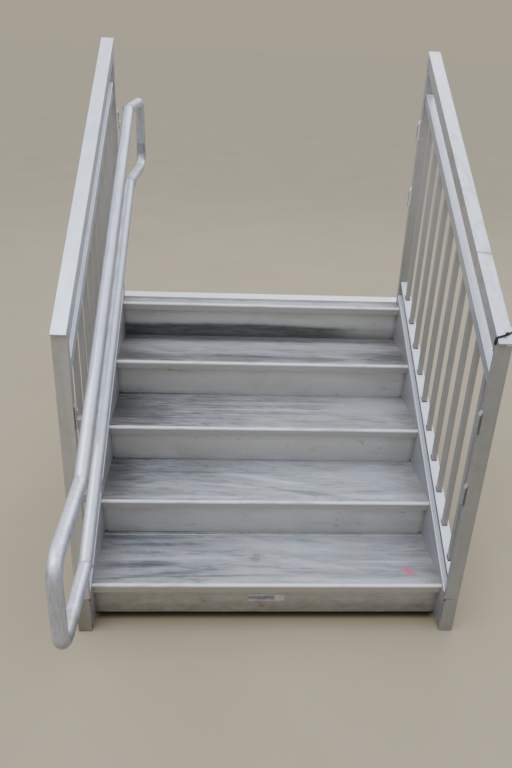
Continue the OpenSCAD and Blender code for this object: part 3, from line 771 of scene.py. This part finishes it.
for s, side in SIDES:
    x = s * MID_X
    feet, heads = Shape(), Shape()
    for i in range(PICKETS):
        a = PICKET_FIRST - PICKET / 2 + i * PICKET_PITCH
        b = a + PICKET
        foot = slope_frame(x, PICKET + 2 * SKIN, a - SKIN, b + SKIN, BOTTOM_H + 0.0012)
        head = slope_frame(x, PICKET + 2 * SKIN, a - SKIN, b + SKIN, MID_H - plumb(MID_D) - 0.001)
        feet.sweep(foot, 0.0021, ripple=0.22, pitch=0.0045, sides=6, closed=True)
        heads.sweep(head, 0.0019, ripple=0.22, pitch=0.0045, sides=6, closed=True)
    # painted shadow: the picket feet take the dark weld metal
    feet.make(f"picket_foot_welds_{side}", WELD_DARK, "picket", smooth=True)
    heads.make(f"picket_head_welds_{side}", WELD, "picket", smooth=True)
    joints = Shape()
    for h, d in ((MID_H, MID_D), (BOTTOM_H, BOTTOM_D)):
        for y in INNER_FACES:
            corners = upright_frame(x, THIN_W, y, level(y, h) - plumb(d), level(y, h))
            joints.sweep(corners, 0.0028, ripple=0.2, pitch=0.005, closed=True)
    for y in INNER_FACES:
        low = level(y, GUARD_H) - plumb(TUBE)
        corners = upright_frame(x, TUBE, y, low, low + 0.050)
        joints.sweep(corners[2:] + corners[:2], 0.0022, ripple=0.2, pitch=0.005)
    joints.make(f"guard_welds_{side}", WELD, "rail", smooth=True)
    lips = Shape()
    for y in (FRONT_Y, FAR_Y):
        z = level(y, GUARD_H) - plumb(TUBE_WALL) - 0.0012
        run = [at(x - TUBE / 2 + 0.002, y, z), at(x + TUBE / 2 - 0.002, y, z)]
        lips.sweep(run, 0.0036, ripple=0.16, pitch=0.004, sides=8)
    lips.make(f"rail_end_welds_{side}", WELD_PALE, "rail", smooth=True)
    ends = Shape()
    for y in INNER_FACES:
        top = level(y, STRINGER_LIFT)
        bottom = max(0.010, top - plumb(STRINGER_D))
        corners = upright_frame(x, TUBE - 2 * SKIN, y, bottom, top)
        ends.sweep(corners, 0.0032, ripple=0.2, pitch=0.006, closed=True)
    ends.make(f"stringer_welds_{side}", WELD, "stringer", smooth=True)

# Welds under the treads: the header and the tie at the rear legs, the risers' backs and the cleats
for s, side in SIDES:
    x = s * NOSING_W
    bars, runs = Shape(), Shape()
    for y0, (z0, z1) in ((TOP_Y + OVERHANG + RISER_T, HEADER_Z), (FAR_Y - TUBE, TIE_Z)):
        corners = side_frame(x - s * SKIN, y0, FAR_Y, z0, z1)
        bars.sweep(corners, 0.0030, ripple=0.22, pitch=0.006, closed=True)
    bars.make(f"rear_welds_{side}", WELD, "underframe", smooth=True)
    for i in range(1, STEPS + 1):
        y = (i - 1) * RUN + OVERHANG + RISER_T + SKIN
        z0, z1 = max(0.020, (i - 1) * RISE + 0.004), i * RISE - PLANK_T - 0.008
        run = [at(x - s * SKIN, y, z0), at(x - s * SKIN, y, z1)]
        runs.sweep(run, 0.0028, ripple=0.24, pitch=0.006)
    for i in range(1, STEPS):
        y0, z = (i - 1) * RUN + CLEAT_Y, i * RISE - CLEAT_FOOT
        for a in (0.012, 0.090, 0.168):
            run = [at(x - s * 0.0022, y0 + a, z), at(x - s * 0.0022, y0 + a + 0.034, z)]
            runs.sweep(run, 0.0026, ripple=0.24, pitch=0.006)
    runs.make(f"under_welds_{side}", WELD, "underframe", smooth=True)

# Welds where the straight handrail tubes meet the bent ends, in planes that halve the slope's angle
rings = Shape()
lean = Vector((0, -math.sin(ANGLE / 2), math.cos(ANGLE / 2)))
for y, z in handrail_joints():
    path = [at(RAIL_X, y, z) + Vector((1, 0, 0)) * (RAIL_R * c) + lean * (RAIL_R * d) for c, d in circle(44)]
    rings.sweep(path, 0.0021, ripple=0.25, pitch=0.0035, closed=True)
rings.make("handrail_welds", WELD_PALE, "handrail", smooth=True)

# Screws that hold the bracket arms' plates on the left posts: a washer and a hexagon head each
WASHER = ((0.00725, 0.0), (0.00725, 0.0009), (0.0069, 0.0012))
HEX_HEAD = ((0.0050, 0.0010), (0.0050, 0.003132), (0.0043, 0.0036))
screws = Shape()
for y0 in (FRONT_Y, REAR_Y):
    y = y0 + LEG_D / 2
    for h in PLATE_HEIGHTS:
        for dz in (-1, 1):
            centre = at(-NOSING_W + PLATE_T, y, level(y, h) + dz * PLATE_PITCH / 2 - PLATE_T / 2)
            screws.turn(centre, WASHER, 24)
            screws.turn(centre, HEX_HEAD, 6)
screws.make("bracket_screws_left", STEEL, "bracket")

# Ridge along the back of each tread, a little ahead of the riser's foot; the first one is pale weld metal as a
# painted highlight
RIDGE = ((0, -0.0003), (0, 0.0008), (0.0008, 0.0014), (0.0022, 0.0014), (0.0030, 0.0008), (0.0030, -0.0003))
for i in range(1, STEPS):
    ridge = Shape()
    y, z = i * RUN + OVERHANG - 0.020, i * RISE
    ends = (-NOSING_W + 0.002, NOSING_W - 0.002)
    ridge.add([at(x, y + a, z + b) for x in ends for a, b in RIDGE], 2, len(RIDGE))
    # painted highlight: the first ridge takes the pale weld metal
    ridge.make(f"tread_ridge_{i}", WELD_PALE if i == 1 else MATS[f"tread_{i}"], "tread")


# Blank tag under a black tie, at the front end of the right top rail
def by_rail(x, y, up):
    """A point above or below the top rail's upper face."""
    return at(x, y, level(y, GUARD_H) + up)


def ribbon(shape, points, x0, x1, thick):
    """A flat strip between two sides along a path in the plane of x."""
    verts = []
    for i, p in enumerate(points):
        t = (points[min(i + 1, len(points) - 1)] - points[max(i - 1, 0)]).normalized()
        low, high = Vector((0, p.y, p.z)), Vector((0, p.y, p.z)) + Vector((0, -t.z, t.y)) * thick
        verts += [v + Vector((x, 0, 0)) for x, v in ((x0, low), (x0, high), (x1, high), (x1, low))]
    shape.add(verts, len(points), 4)


lip = level(FRONT_Y, GUARD_H)
hang = [at(0, FRONT_Y - y, lip - z) for y, z in ((0.0045, 0.0180), (0.0040, 0.0090), (0.0030, 0.0015))]
lie = [by_rail(0, y, plumb(lift)) for y, lift in (
    (FRONT_Y + 0.001, 0.0012), (-0.046, 0.0012), (-0.034, 0.0022), (-0.018, 0.0040))]
tag = Shape()
ribbon(tag, hang + lie, 0.6855, 0.7100, 0.0008)
tag.make("rail_tag_blank", CARD, "rail")

tie = Shape()
strap = [by_rail(x, y, up) for x, y, up in (
    (0.6537, -0.0475, -0.026), (0.6535, -0.0480, -0.012), (0.6545, -0.0490, -0.001),
    (0.6580, -0.0500, plumb(0.0036)), (0.6650, -0.0490, plumb(0.0040)), (0.6860, -0.0445, plumb(0.0052)),
    (0.7050, -0.0360, plumb(0.0056)), (0.7105, -0.0350, plumb(0.0020)),
    (0.7120, -0.0350, -0.010), (0.7118, -0.0350, -0.044))]
tie.sweep(strap, 0.0037, ripple=0.05, pitch=0.004, sides=8)
tie.sweep(strap[:3], 0.0046, ripple=0.06, pitch=0.004, sides=8)
knot = by_rail(0.6880, -0.0440, plumb(0.0070))
across = [knot + Vector((-0.007, -0.002, 0)), knot + Vector((0.007, 0.003, 0.001))]
tie.sweep(across, 0.0062, ripple=0.04, pitch=0.004, sides=8)
tie.make("rail_tie", BLACK, "rail", smooth=True)

# Seam between each leg and its post, with a notch and pale beads at the front ones, the beads being painted
# highlights for the glints on the corners
for s, side in SIDES:
    x = s * MID_X
    seam, notch, glint_beads = Shape(), Shape(), Shape()
    for y in (FRONT_Y, REAR_Y):
        z = level(y + LEG_D / 2, STRINGER_LIFT) - LEG_DROP
        corners = [at(x + a * TUBE / 2, y + b, z) for a, b in ((-1, 0), (1, 0), (1, LEG_D), (-1, LEG_D))]
        seam.sweep(corners, 0.0005, ripple=0.3, pitch=0.006, sides=6, closed=True)
    seam.make(f"leg_seam_{side}", SHADE, "post")
    z = level(FRONT_Y + LEG_D / 2, STRINGER_LIFT) - LEG_DROP
    xi, xo = x - s * TUBE / 2, x + s * TUBE / 2
    cut = [at(xi, FRONT_Y - 0.0002, z - 0.010), at(xi - s * 0.0005, FRONT_Y - 0.0006, z + 0.006)]
    notch.sweep(cut, 0.0022, ripple=0.2, pitch=0.003)
    notch.make(f"leg_notch_{side}", SHADE, "post")
    # painted highlight: pale beads along the notch and the outer corner stand for glints
    inner = [at(xi + s * 0.003, FRONT_Y - 0.0004, z + 0.006), at(xi - s * 0.0012, FRONT_Y - 0.0012, z + 0.0095),
             at(xi - s * 0.0018, FRONT_Y + 0.004, z + 0.010)]
    outer = [at(xo - s * 0.006, FRONT_Y - 0.0006, z), at(xo - s * 0.0005, FRONT_Y - 0.0006, z),
             at(xo, FRONT_Y + 0.008, z)]
    glint_beads.sweep(inner, 0.0016, ripple=0.2, pitch=0.003)
    glint_beads.sweep(outer, 0.0014, ripple=0.2, pitch=0.003)
    glint_beads.make(f"leg_glint_beads_{side}", WELD_PALE, "post", smooth=True)

# Blank label on the first riser
LABEL_T, LABEL_R = 0.0007, 0.0035  # its thickness, and the radius of its corners
outline = []
for sx, z, turn in ((1, LABEL_Z[1] - LABEL_R, 0), (-1, LABEL_Z[1] - LABEL_R, 90),
                    (-1, LABEL_Z[0] + LABEL_R, 180), (1, LABEL_Z[0] + LABEL_R, 270)):
    for a in (0, 30, 60, 90):
        q = math.radians(turn + a)
        outline.append((LABEL_X + sx * (LABEL_HALF_W - LABEL_R) + LABEL_R * math.cos(q), z + LABEL_R * math.sin(q)))
label = Shape()
label.add([at(x, y, z) for y in (OVERHANG, OVERHANG - LABEL_T) for x, z in outline], 2, len(outline))
label.make("riser_label_blank", FILM, "riser")

# Light: a bright sky over a dim horizon, seen by the camera as one plain tone
world = bpy.data.worlds.new("world")
bpy.context.scene.world = world
world.use_nodes = True
nodes, links = world.node_tree.nodes, world.node_tree.links
coord = nodes.new("ShaderNodeTexCoord")
height = nodes.new("ShaderNodeSeparateXYZ")
ramp = nodes.new("ShaderNodeValToRGB")
path = nodes.new("ShaderNodeLightPath")
seen = nodes.new("ShaderNodeMix")
seen.data_type = "RGBA"
seen.inputs[7].default_value = (0.463, 0.413, 0.317, 1)
links.new(coord.outputs["Generated"], height.inputs[0])
links.new(height.outputs[2], ramp.inputs[0])
links.new(path.outputs["Is Camera Ray"], seen.inputs["Factor"])
links.new(ramp.outputs[0], seen.inputs[6])
links.new(seen.outputs[2], nodes["Background"].inputs[0])
nodes["Background"].inputs[1].default_value = 1.0
stops = ramp.color_ramp.elements
stops[0].position, stops[0].color = 0.0, (0.56, 0.55, 0.52, 1)
stops[1].position, stops[1].color = 1.0, (1.34, 1.41, 1.60, 1)
stops.new(0.12).color = (0.58, 0.58, 0.58, 1)
stops.new(0.45).color = (1.02, 1.08, 1.21, 1)


def lamp(name, place, energy):
    """A soft lamp of 4 m that looks at the middle of the flight."""
    data = bpy.data.lights.new(name, "AREA")
    data.energy = energy
    data.size = 4.0
    obj = bpy.data.objects.new(name, data)
    obj.location = place
    obj.rotation_euler = (Vector((0, 0.3, 0.7)) - Vector(place)).to_track_quat("-Z", "Y").to_euler()
    bpy.context.scene.collection.objects.link(obj)


lamp("key", (-2.2, -2.0, 5.5), 115)
lamp("back", (1.5, 4.5, 5.0), 80)

# Floor, shaded close under the first riser
FLOOR = 400  # half its width
mesh = bpy.data.meshes.new("floor")
mesh.from_pydata([(-FLOOR, -FLOOR, 0), (FLOOR, -FLOOR, 0), (FLOOR, FLOOR, 0), (-FLOOR, FLOOR, 0)], [], [(0, 1, 2, 3)])
floor = bpy.data.objects.new("floor", mesh)
bpy.context.scene.collection.objects.link(floor)
m = Mat("floor_painted_shadow")
m.bsdf.inputs["Specular IOR Level"].default_value = 0.0
tone = m.mix(m.span(m.noise(m.pos, 1.3, 5.0, 0.6), 0.35, 0.65), (0.388, 0.333, 0.231), (0.410, 0.352, 0.246))
ahead, wide = m.size(m.plus(m.y, MID_Y - OVERHANG - 0.003)), m.size(m.x)
# painted shadow: the floor is darkened just ahead of and under the first riser
near = m.times(m.span(ahead, 0.120, 0.006, smooth=True), m.span(wide, 0.76, 0.62, smooth=True))
under = m.times(m.span(ahead, 0.034, 0.003, smooth=True), m.span(wide, 0.665, 0.640))
tone = m.tint(under, m.tint(near, tone, (0.66, 0.64, 0.62)), (0.20, 0.17, 0.15))
floor.data.materials.append(m.finish(tone, 0.85, 0.0))
